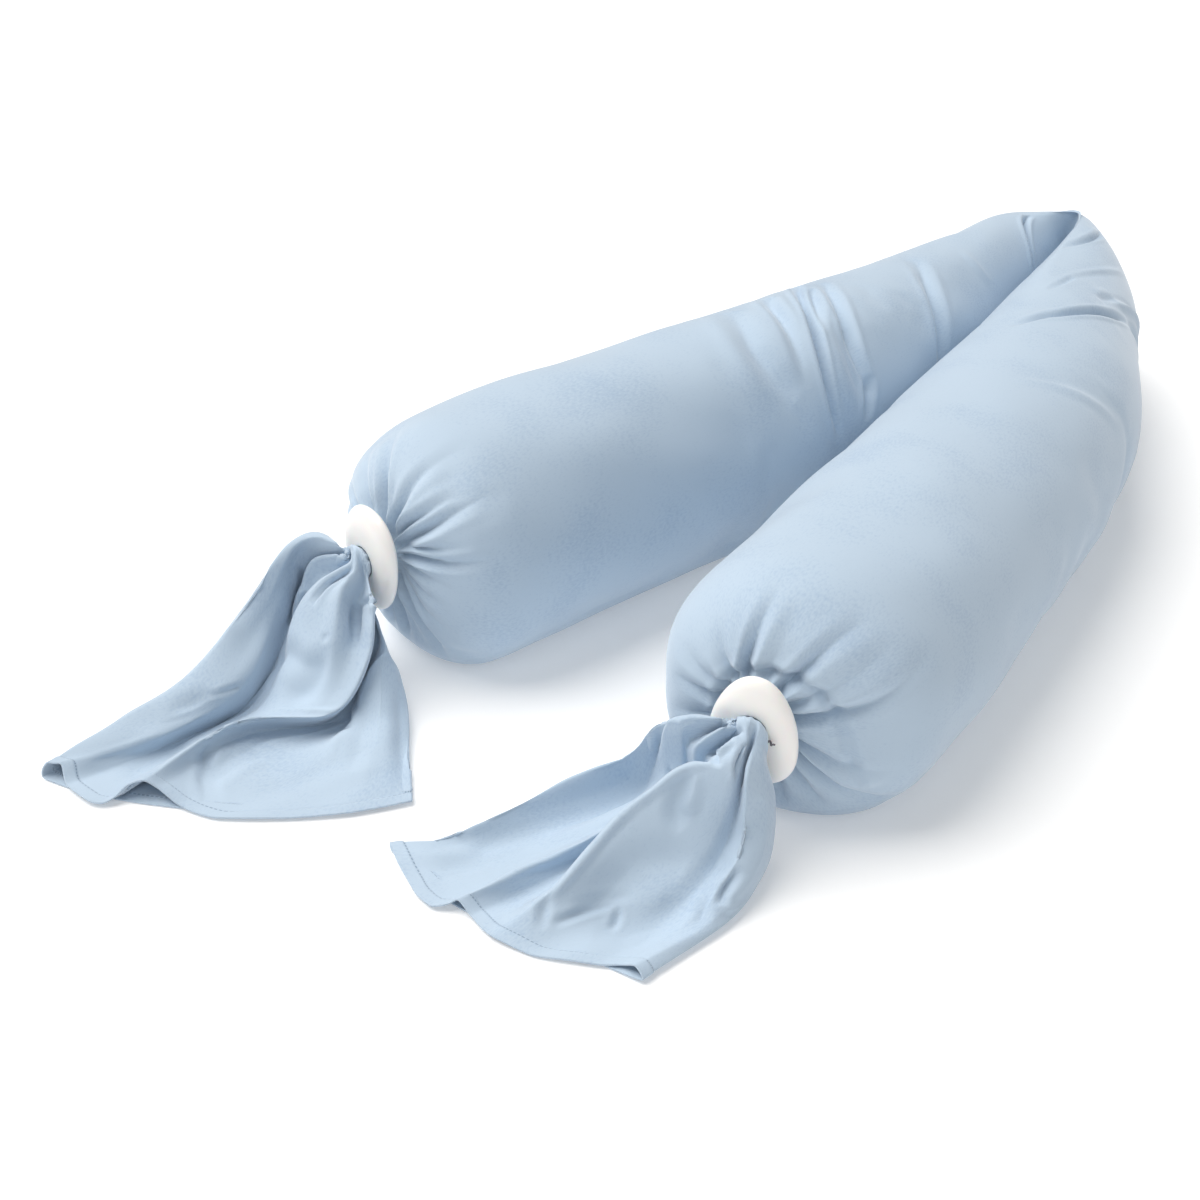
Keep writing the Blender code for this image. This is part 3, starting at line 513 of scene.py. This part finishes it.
TAILS["tail_right"] = [
    (205, 248, -212, 66, 212, -196, 28, 168, -213, 3, 146, -288, 2, 122, -333, 1.5, 94, -361, 1.5),
    (188, 252, -212, 88, 210, -202, 50, 171, -226, 31, 143, -296, 20, 119, -336, 9, 89, -357, 3),
    (180, 257, -211, 97, 218, -212, 83, 192, -210, 24, 154, -293, 16, 129, -337, 6, 106, -368, 2.5),
    (172, 259, -209, 92, 220, -204, 60, 204, -210, 17, 165, -290, 10, 143, -344, 4, 126, -379, 2),
    (162, 266, -210, 110, 234, -220, 98, 228, -214, 44, 179, -288, 8, 155, -349, 4, 144, -388, 2),
    (150, 273, -212, 113, 250, -222, 100, 241, -216, 52, 192, -287, 9, 168, -352, 6, 160, -391, 2.5),
    (142, 272, -208, 101, 250, -216, 84, 246, -213, 46, 202, -284, 14, 181, -357, 10, 169, -386, 5),
    (134, 281, -211, 111, 264, -225, 94, 253, -218, 56, 216, -283, 25, 190, -352, 17, 175, -381, 10),
    (124, 281, -208, 99, 269, -219, 84, 259, -219, 58, 220, -275, 13, 208, -322, 8, 188, -382, 3),
    (116, 288, -211, 107, 283, -228, 99, 267, -225, 70, 235, -285, 32, 223, -331, 15, 203, -387, 2.5),
    (104, 295, -214, 107, 293, -234, 98, 268, -241, 86, 242, -281, 55, 235, -334, 32, 215, -389, 2.5),
    (90, 298, -214, 104, 299, -236, 93, 285, -243, 68, 265, -278, 38, 256, -322, 14, 246, -386, 2),
    (76, 298, -213, 101, 303, -232, 85, 298, -241, 52, 293, -271, 24, 284, -315, 8, 275, -373, 2),
    (66, 297, -207, 94, 302, -223, 74, 302, -235, 42, 303, -267, 18, 296, -309, 6, 289, -366, 2),
    (52, 301, -209, 102, 310, -230, 89, 317, -241, 56, 320, -270, 26, 313, -306, 9, 302, -359, 4),
    (26, 305, -205, 99, 316, -216, 79, 325, -226, 46, 331, -257, 22, 326, -297, 10, 313, -359, 10),
    (0, 306, -200, 88, 316, -202, 58, 321, -208, 30, 329, -236, 12, 333, -280, 6, 321, -361, 4),
    (-50, 298, -201, 64, 288, -200, 14, 297, -218, 1.5, 306, -250, 1, 314, -298, 1, 292, -363, 1),
    (-95, 276, -206, 58, 254, -206, 8, 245, -253, 1.5, 238, -301, 1, 232, -338, 1, 215, -377, 1),
    (-140, 258, -209, 60, 226, -198, 18, 193, -230, 1.5, 174, -290, 1, 157, -336, 1, 147, -376, 1),
]
WRINKLES = {}
WRINKLES["tail_left"] = [
    # share of the length and angle round the sleeve at the start, in the middle and at the end,
    # half, deep, sharp, lap, peak, as in the cover's tables
    (0.23, 50, 0.29, 55, 0.41, 50, 0.0030, 0.008, 0.9, -0.003, 0.5),    # deep valley beside the roll
    (0.40, 50, 0.55, 53, 0.66, 56, 0.0030, 0.008, 0.9, -0.003, 0.5),
    (0.65, 55, 0.79, 50, 0.94, 48, 0.0030, 0.006, 0.9, -0.002, 0.4),
    (0.22, 45, 0.25, 51, 0.28, 55, 0.0030, 0.005, 0.9, -0.002, 0.4),
    (0.12, 84, 0.20, 80, 0.31, 79, 0.0024, 0.009, 0.9, 0.000, 0.5),     # pleats at the neck
    (0.05, 60, 0.13, 47, 0.23, 52, 0.0024, 0.004, 0.5, 0.000, 0.5),
    (0.07, 80, 0.13, 60, 0.21, 56, 0.0022, 0.005, 0.8, 0.000, 0.5),
    (0.29, 71, 0.32, 62, 0.45, 54, 0.0030, -0.003, 0.6, 0.000, 0.5),
    (0.21, 100, 0.28, 101, 0.37, 101, 0.0045, 0.007, 0.4, 0.000, 0.4),
    (0.20, 101, 0.21, 107, 0.22, 113, 0.0024, 0.006, 0.8, 0.000, 0.5),
    (0.20, 103, 0.24, 109, 0.25, 113, 0.0025, -0.003, 0.8, 0.000, 0.5),
    (0.35, 114, 0.42, 111, 0.51, 111, 0.0024, 0.006, 0.9, 0.000, 0.5),  # middle flap
    (0.52, 127, 0.65, 125, 0.79, 127, 0.0030, 0.006, 0.9, 0.003, 0.4),
    (0.76, 131, 0.84, 129, 0.92, 132, 0.0070, 0.006, 0.3, 0.002, 0.4),
    (0.53, 110, 0.57, 99, 0.61, 84, 0.0024, -0.002, 0.8, 0.000, 0.5),
    (0.29, 114, 0.39, 110, 0.49, 109, 0.0030, -0.003, 0.7, 0.000, 0.5),
    (0.36, 90, 0.47, 90, 0.56, 84, 0.0110, 0.006, 0.1, 0.000, 0.5),
    (0.34, 91, 0.35, 90, 0.36, 88, 0.0030, 0.002, 0.4, 0.000, 0.5),
    (0.47, 58, 0.45, 79, 0.41, 91, 0.0080, 0.003, 0.2, 0.000, 0.5),
    (0.42, 115, 0.44, 134, 0.62, 168, 0.0028, -0.004, 0.8, 0.000, 0.4),  # right flap
    (0.40, 188, 0.57, 181, 0.81, 185, 0.0090, 0.004, 0.2, 0.000, 0.5),
    (0.44, 195, 0.65, 196, 0.93, 199, 0.0060, 0.003, 0.2, 0.000, 0.5),
    (0.60, 142, 0.61, 155, 0.63, 165, 0.0022, 0.002, 0.5, 0.000, 0.5),
    (0.30, 24, 0.36, 24, 0.42, 24, 0.0060, 0.003, 0.2, 0.000, 0.5),      # on the long roll
    (0.55, 33, 0.60, 32, 0.65, 29, 0.0070, 0.003, 0.2, 0.000, 0.5),
    (0.56, 32, 0.56, 41, 0.58, 54, 0.0024, 0.002, 0.4, 0.000, 0.5),
    (0.91, 67, 0.82, 64, 0.74, 64, 0.0080, 0.004, 0.2, 0.000, 0.5),
    (0.80, 100, 0.90, 128, 0.96, 140, 0.0050, 0.004, 0.3, 0.000, 0.4),
    (0.76, 143, 0.66, 155, 0.72, 176, 0.0100, -0.003, 0.1, 0.000, 0.5),
    (0.82, 175, 0.68, 172, 0.51, 170, 0.0090, 0.004, 0.2, 0.000, 0.5),
]
WRINKLES["tail_right"] = [
    (0.06, 97, 0.18, 63, 0.33, 69, 0.0028, 0.008, 0.9, 0.000, 0.5),     # arcs of the swirl
    (0.10, 116, 0.19, 88, 0.29, 110, 0.0026, 0.008, 0.9, 0.000, 0.5),
    (0.17, 92, 0.27, 108, 0.26, 121, 0.0022, 0.005, 0.9, 0.000, 0.5),
    (0.16, 107, 0.23, 108, 0.26, 113, 0.0022, -0.003, 0.7, 0.000, 0.5),
    (0.23, 84, 0.30, 85, 0.34, 100, 0.0024, 0.004, 0.7, 0.000, 0.5),
    (0.13, 130, 0.25, 160, 0.40, 162, 0.0028, 0.008, 0.9, -0.002, 0.4),  # crease down the front
    (0.27, 51, 0.32, 46, 0.45, 59, 0.0035, 0.008, 0.8, 0.000, 0.4),     # loop behind the band
    (0.26, 27, 0.30, 31, 0.32, 35, 0.0026, 0.005, 0.6, 0.000, 0.5),
    (0.24, 54, 0.32, 50, 0.40, 55, 0.0030, -0.003, 0.5, 0.000, 0.5),
    (0.30, 118, 0.44, 120, 0.58, 120, 0.0030, -0.004, 0.6, 0.000, 0.5),  # front ridge
    (0.52, 120, 0.72, 118, 0.90, 123, 0.0030, -0.004, 0.6, 0.000, 0.5),
    (0.50, 92, 0.63, 98, 0.86, 113, 0.0050, 0.007, 0.5, 0.000, 0.4),
    (0.47, 80, 0.62, 106, 0.68, 112, 0.0028, 0.004, 0.9, 0.001, 0.5),
    (0.56, 90, 0.71, 80, 0.91, 67, 0.0028, -0.003, 0.7, 0.000, 0.4),
    (0.42, 43, 0.58, 30, 0.87, 36, 0.0140, 0.006, 0.1, 0.000, 0.5),
    (0.92, 133, 0.86, 138, 0.81, 146, 0.0028, 0.004, 0.6, 0.000, 0.5),   # small wrinkles
    (0.82, 146, 0.84, 151, 0.88, 154, 0.0026, 0.004, 0.6, 0.000, 0.5),
    (0.87, 133, 0.83, 137, 0.77, 149, 0.0035, 0.002, 0.4, 0.000, 0.5),
    (0.94, 132, 0.90, 124, 0.86, 120, 0.0035, 0.003, 0.5, 0.000, 0.5),
    (0.55, 187, 0.64, 185, 0.72, 189, 0.0032, 0.006, 0.7, 0.000, 0.5),
    (0.63, 178, 0.72, 181, 0.81, 189, 0.0045, 0.003, 0.4, 0.000, 0.5),
    (0.71, 187, 0.74, 197, 0.71, 200, 0.0030, -0.002, 0.5, 0.000, 0.5),
    (0.39, 126, 0.49, 132, 0.52, 143, 0.0060, 0.004, 0.2, 0.000, 0.5),
    (0.35, 124, 0.42, 132, 0.49, 137, 0.0050, -0.003, 0.3, 0.000, 0.5),
    (0.30, 191, 0.43, 184, 0.61, 177, 0.0090, 0.004, 0.2, 0.000, 0.5),
    (0.38, 16, 0.37, 18, 0.34, 17, 0.0024, 0.002, 0.5, 0.000, 0.5),
    (0.97, 20, 0.85, 28, 0.75, 34, 0.0080, -0.003, 0.2, 0.000, 0.5),
    (0.90, 150, 0.84, 170, 0.70, 173, 0.0120, 0.003, 0.1, 0.000, 0.5),
    (0.71, 140, 0.65, 146, 0.63, 157, 0.0110, 0.003, 0.1, 0.000, 0.5),
]


def tail_surface(name, rows, columns):
    """Open sleeve and each row's share of its length: every fold runs from the ring at the neck through
    its stations to the hem, and the cloth runs from fold to fold round the sleeve, partly as a smooth
    curve and partly straight; inside the clip it is drawn to a true ring."""
    centre, out, right, up = neck_frame(name.split("_")[1])
    folds = np.array(TAILS[name], float)
    turn = np.radians(folds[:, 0])[:, None]
    ring = TAIL_RING * (np.cos(turn) * right + np.sin(turn) * up)
    rings = [centre + out * far + ring * wide
             for far, wide in [(TAIL_START, 1.0), (TAIL_MOUTH, 1.0), (TAIL_LOOSE, TAIL_BULGE)]]
    lines = np.concatenate([rings, folds[:, 1:].reshape(len(folds), -1, 3).transpose(1, 0, 2) / 1000])
    knots = np.concatenate([[0.0], np.cumsum(np.linalg.norm(np.diff(lines, axis=0), axis=2).mean(axis=1))])
    hem_from = knots[-1] - HEM - HEM_MORE
    along = np.concatenate([np.linspace(0, hem_from, rows - HEM_ROWS, endpoint=False),
                            np.linspace(hem_from, knots[-1], HEM_ROWS)])
    lines = curve(knots, lines.reshape(len(knots), -1), along).reshape(rows, len(folds), 3)
    gap = np.linalg.norm(np.roll(lines, -1, axis=1) - lines, axis=2)[rows // 3:].mean(axis=0)
    place = np.concatenate([[0.0], np.cumsum(gap)])
    lap = place[-1]
    many = np.concatenate([place[:-1] - lap, place[:-1], place[:-1] + lap])
    looped = np.concatenate([lines] * 3, axis=1).transpose(1, 0, 2)
    spot = np.linspace(0, lap, columns, endpoint=False)
    cell = np.clip(np.searchsorted(many, spot, side="right") - 1, 0, len(many) - 2)
    share = ((spot - many[cell]) / (many[cell + 1] - many[cell]))[:, None, None]
    straight = looped[cell] * (1 - share) + looped[cell + 1] * share
    bent = curve(many, looped.reshape(len(many), -1), spot).reshape(columns, rows, 3)
    p = ((1 - TAIL_CRISP) * bent + TAIL_CRISP * straight).transpose(1, 0, 2)
    off = p - centre - out * ((p - centre) @ out)[..., None]
    held = np.clip((knots[2] + TAIL_EASE - along) / TAIL_EASE, 0, 1)[:, None, None]
    round_hole = TAIL_RING * np.interp(along, knots[:3], [1.0, 1.0, TAIL_BULGE])[:, None, None]
    p += held * off * (round_hole / np.linalg.norm(off, axis=2, keepdims=True) - 1)
    p[..., 2] = np.maximum(p[..., 2], LOWEST)
    return p, along / along[-1]


def run_of(p):
    """Distance along every column from the first row."""
    return np.concatenate([np.zeros((1, p.shape[1])),
                           np.cumsum(np.linalg.norm(np.diff(p, axis=0), axis=2), axis=0)])


tail_cloth = jersey("cotton_jersey_ends", 0.0016, HEM)
for name in TAILS:
    p, share = tail_surface(name, TAIL_ROWS, TAIL_COLUMNS)
    out_of_tail = normals(p)
    sunk = -TAIL_SWELL * uneven(share * TAIL_LENGTH, TAIL_COLUMNS, 7, 12, 0.04, 0.12)
    for s0, a0, s1, a1, s2, a2, *shape in WRINKLES[name]:
        sunk += fold_relief(p, out_of_tail, fold_path(p, share, [(s0, a0), (s1, a1), (s2, a2)]), *shape)
    sunk *= np.clip(3 * out_of_tail[..., 2], 0, 1)
    run = run_of(p)
    from_hem = run[-1] - run
    sunk -= HEM_RISE * np.clip((HEM + 0.0006 - from_hem) / 0.0012, 0, 1)
    sunk += HEM_GROOVE * np.exp(-((from_hem - HEM) / 0.0010) ** 2)
    p = p - out_of_tail * sunk[..., None]
    p[..., 2] = np.maximum(p[..., 2], np.where(out_of_tail[..., 2] > 0, LOWEST_TOP, LOWEST))
    p += SHIFT
    closed = np.concatenate([p, p[:, :1]], axis=1)
    run = run_of(closed)
    lap = np.linalg.norm(np.diff(closed, axis=1), axis=2)[-1].sum()
    lies_around = np.repeat(np.linspace(0, lap, TAIL_COLUMNS + 1)[None, :], TAIL_ROWS, axis=0)
    cloth_map = np.stack([lies_around, run - run[-1]], -1)
    sleeve = grid_mesh(name + "_cover", p[:, ::-1], cloth_map[:, ::-1])
    wall = sleeve.modifiers.new("wall", "SOLIDIFY")
    wall.thickness = CLOTH
    wall.offset = -1.0
    sleeve.data.materials.append(tail_cloth)
    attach(sleeve, "root")
    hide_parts(name)

# ---------------------------------------------------------------------------------------------
# Clips. Egg-shaped pebbles of white ABS, moulded with a through hole and satin finished; the gathered
# cover is pulled through the hole and fills it.
CLIP_HALF = (0.033, 0.0445)               # half width and half height
CLIP_FRONT, CLIP_BACK = 0.0100, 0.0060    # doming of the face and of the back
CLIP_HOLE = 0.0116                        # radius
CLIP_FILLET = 0.0020
CLIP_SQUARE = 2.2
CLIP_OUT = 0.0092                         # from the neck's middle to the rim
CLIP_COLUMNS, CLIP_ROWS = 96, 128


def clip_surface(side):
    """Pebble with a hole: round the clip a squared egg, and across it one closed loop that runs from the
    middle of the hole over a fillet and the domed face to the rim, and back over the flatter back."""
    turn = np.linspace(0, 2 * math.pi, CLIP_ROWS, endpoint=False)[:, None]
    loop = np.linspace(0, 1, CLIP_COLUMNS, endpoint=False)[None, :]
    c, s = np.cos(turn), np.sin(turn)
    wide = np.sign(c) * np.abs(c) ** (2 / CLIP_SQUARE) * (1 + NECKS[side]["egg"] * s)
    high = np.sign(s) * np.abs(s) ** (2 / CLIP_SQUARE)
    face = np.where(loop < 0.5, 2 * loop, 2 - 2 * loop)
    t = (1 - np.cos(math.pi * face)) / 2
    dome = np.where(loop < 0.5, CLIP_FRONT, -CLIP_BACK)
    rim = np.sqrt(np.clip(1 - t ** 3.0, 0, 1))
    lean, drop = math.radians(NECKS[side]["lean"]), NECKS[side]["drop"]
    wall = t * (np.hypot(wide * CLIP_HALF[0], high * CLIP_HALF[1] - drop) - CLIP_HOLE)
    fillet = np.sqrt(np.clip(1 - (1 - np.clip(wall / CLIP_FILLET, 0, 1)) ** 2, 0, 1))
    depth = dome * rim * (0.25 + 0.75 * fillet)
    right_of = c * CLIP_HOLE * (1 - t) + wide * CLIP_HALF[0] * t
    above = s * CLIP_HOLE * (1 - t) + (high * CLIP_HALF[1] - drop) * t
    centre, out, right, up = neck_frame(side)
    level = (right_of * math.cos(lean) + above * math.sin(lean))[..., None]
    upright = (above * math.cos(lean) - right_of * math.sin(lean))[..., None]
    return centre + out * (CLIP_OUT + depth[..., None]) + right * level + up * upright


# warm white ABS: a soft broad highlight, light that enters a few mm and leaves the rim less hard
abs_white, abs_tree, abs_shader = new_material("satin_white_abs", Roughness=0.30, Coat_Weight=0.2)
abs_shader.inputs["Base Color"].default_value = hex_colour("#fbf8f4")
abs_shader.inputs["Subsurface Weight"].default_value = 0.15
abs_shader.inputs["Subsurface Scale"].default_value = 0.004
for side in NECKS:
    p = clip_surface(side) + SHIFT
    clip = grid_mesh("pebble_" + side, p, np.zeros((CLIP_ROWS + 1, CLIP_COLUMNS + 1, 2)), looped=True)
    clip.data.materials.append(abs_white)
    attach(clip, "root")
    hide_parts("clip_" + side)

# ---------------------------------------------------------------------------------------------
# Cord end. A short end of thin grey cotton cord, coiled into a knot, that sticks out of the right clip's
# hole beside the gathered cloth.
CORD_LENGTH, CORD_RADIUS, CORD_COIL = 0.0100, 0.0008, 0.0017
CORD_START = (0.0105, 0.0228, -0.0030)    # to the right of, out of and above the neck's middle
CORD_TURNS = 2.5
CORD_COLUMNS, CORD_ROWS = 10, 72


def cord_surface(side):
    """Cord laid to the right across the clip's face: a straight line whose middle swells into a helix."""
    t = np.linspace(0, 1, CORD_ROWS)[:, None]
    around = np.linspace(0, 2 * math.pi, CORD_COLUMNS, endpoint=False)[None, :]
    centre, out, right, up = neck_frame(side)
    turn = 2 * math.pi * CORD_TURNS * t
    away = np.cos(turn) * out + np.sin(turn) * up
    coil = CORD_COIL * np.sin(math.pi * np.clip((t - 0.15) / 0.7, 0, 1))
    path = (centre + CORD_START[0] * right + CORD_START[1] * out + CORD_START[2] * up
            + CORD_LENGTH * t * right + coil * away)
    ahead = np.gradient(path, axis=0)
    ahead /= np.linalg.norm(ahead, axis=1, keepdims=True)
    across = np.cross(ahead, away)
    thick = CORD_RADIUS * np.sqrt(np.clip(1 - np.abs(2 * t - 1) ** 12, 0.1, 1))[..., None]
    return path[:, None] + thick * (np.cos(around)[..., None] * away[:, None]
                                    + np.sin(around)[..., None] * across[:, None])


# dull grey cotton: a dark dry spot on the white clip
cord_cotton, cord_tree, cord_shader = new_material("grey_cotton_cord", Roughness=0.95)
cord_shader.inputs["Base Color"].default_value = hex_colour("#6f6d72")
cord = grid_mesh("cord_end", cord_surface("right") + SHIFT, np.zeros((CORD_ROWS + 1, CORD_COLUMNS + 1, 2)),
                 closed_ends=True)
cord.data.materials.append(cord_cotton)
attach(cord, "root")

# ---------------------------------------------------------------------------------------------
# Camera, floor and light, as in a product photograph on a white table.
CAMERA_AT = (0.9983, -1.2640, 1.0065)     # before the plan shift
CAMERA_TILT, CAMERA_TURN = math.radians(58.0), math.radians(38.3)
camera_data = bpy.data.cameras.new("camera")
camera_data.sensor_width = 36.0
camera_data.lens = 67.18
camera = bpy.data.objects.new("camera", camera_data)
camera.location = SHIFT + CAMERA_AT
camera.rotation_euler = (CAMERA_TILT, 0.0, CAMERA_TURN)
bpy.context.scene.collection.objects.link(camera)
bpy.context.scene.camera = camera
bpy.context.scene.view_settings.view_transform = "Standard"

bpy.ops.mesh.primitive_plane_add(size=12.0, location=(0, 0, -0.0005))
floor = bpy.context.object
floor.name = "floor"
# matt white paper: hardly any gloss, and light of its own so that shadows stay pale
paper, paper_tree, paper_shader = new_material("matt_white_paper", Roughness=0.9, Specular_IOR_Level=0.1)
paper_shader.inputs["Base Color"].default_value = hex_colour("#f2f2f2")
paper_shader.inputs["Emission Color"].default_value = hex_colour("#ffffff")
paper_shader.inputs["Emission Strength"].default_value = 0.20
floor.data.materials.append(paper)

sky = bpy.data.worlds.new("studio")
bpy.context.scene.world = sky
sky.use_nodes = True
background = sky.node_tree.nodes["Background"]
background.inputs["Color"].default_value = hex_colour("#ffffff")
background.inputs["Strength"].default_value = 0.24
LAMPS = [
    # name, place to the right of, ahead of and above the object's middle as seen from the camera,
    # strength, angle of the soft box, colour
    ("key", -1.10, 0.64, 2.20, 3.40, 62, (1.0, 0.975, 0.945)),
    ("fill", 0.3, -1.9, 1.3, 0.50, 60, (0.94, 0.97, 1.0)),
]
for name, right, ahead, above, strength, wide, colour in LAMPS:
    lamp = bpy.data.lights.new(name, "SUN")
    lamp.energy = strength
    lamp.color = colour
    lamp.angle = math.radians(wide)
    placed = bpy.data.objects.new(name, lamp)
    placed.location = (right * math.cos(CAMERA_TURN) - ahead * math.sin(CAMERA_TURN),
                       right * math.sin(CAMERA_TURN) + ahead * math.cos(CAMERA_TURN), above)
    placed.rotation_euler = (-placed.location).to_track_quat("-Z", "Y").to_euler()
    bpy.context.scene.collection.objects.link(placed)

bpy.context.view_layer.update()
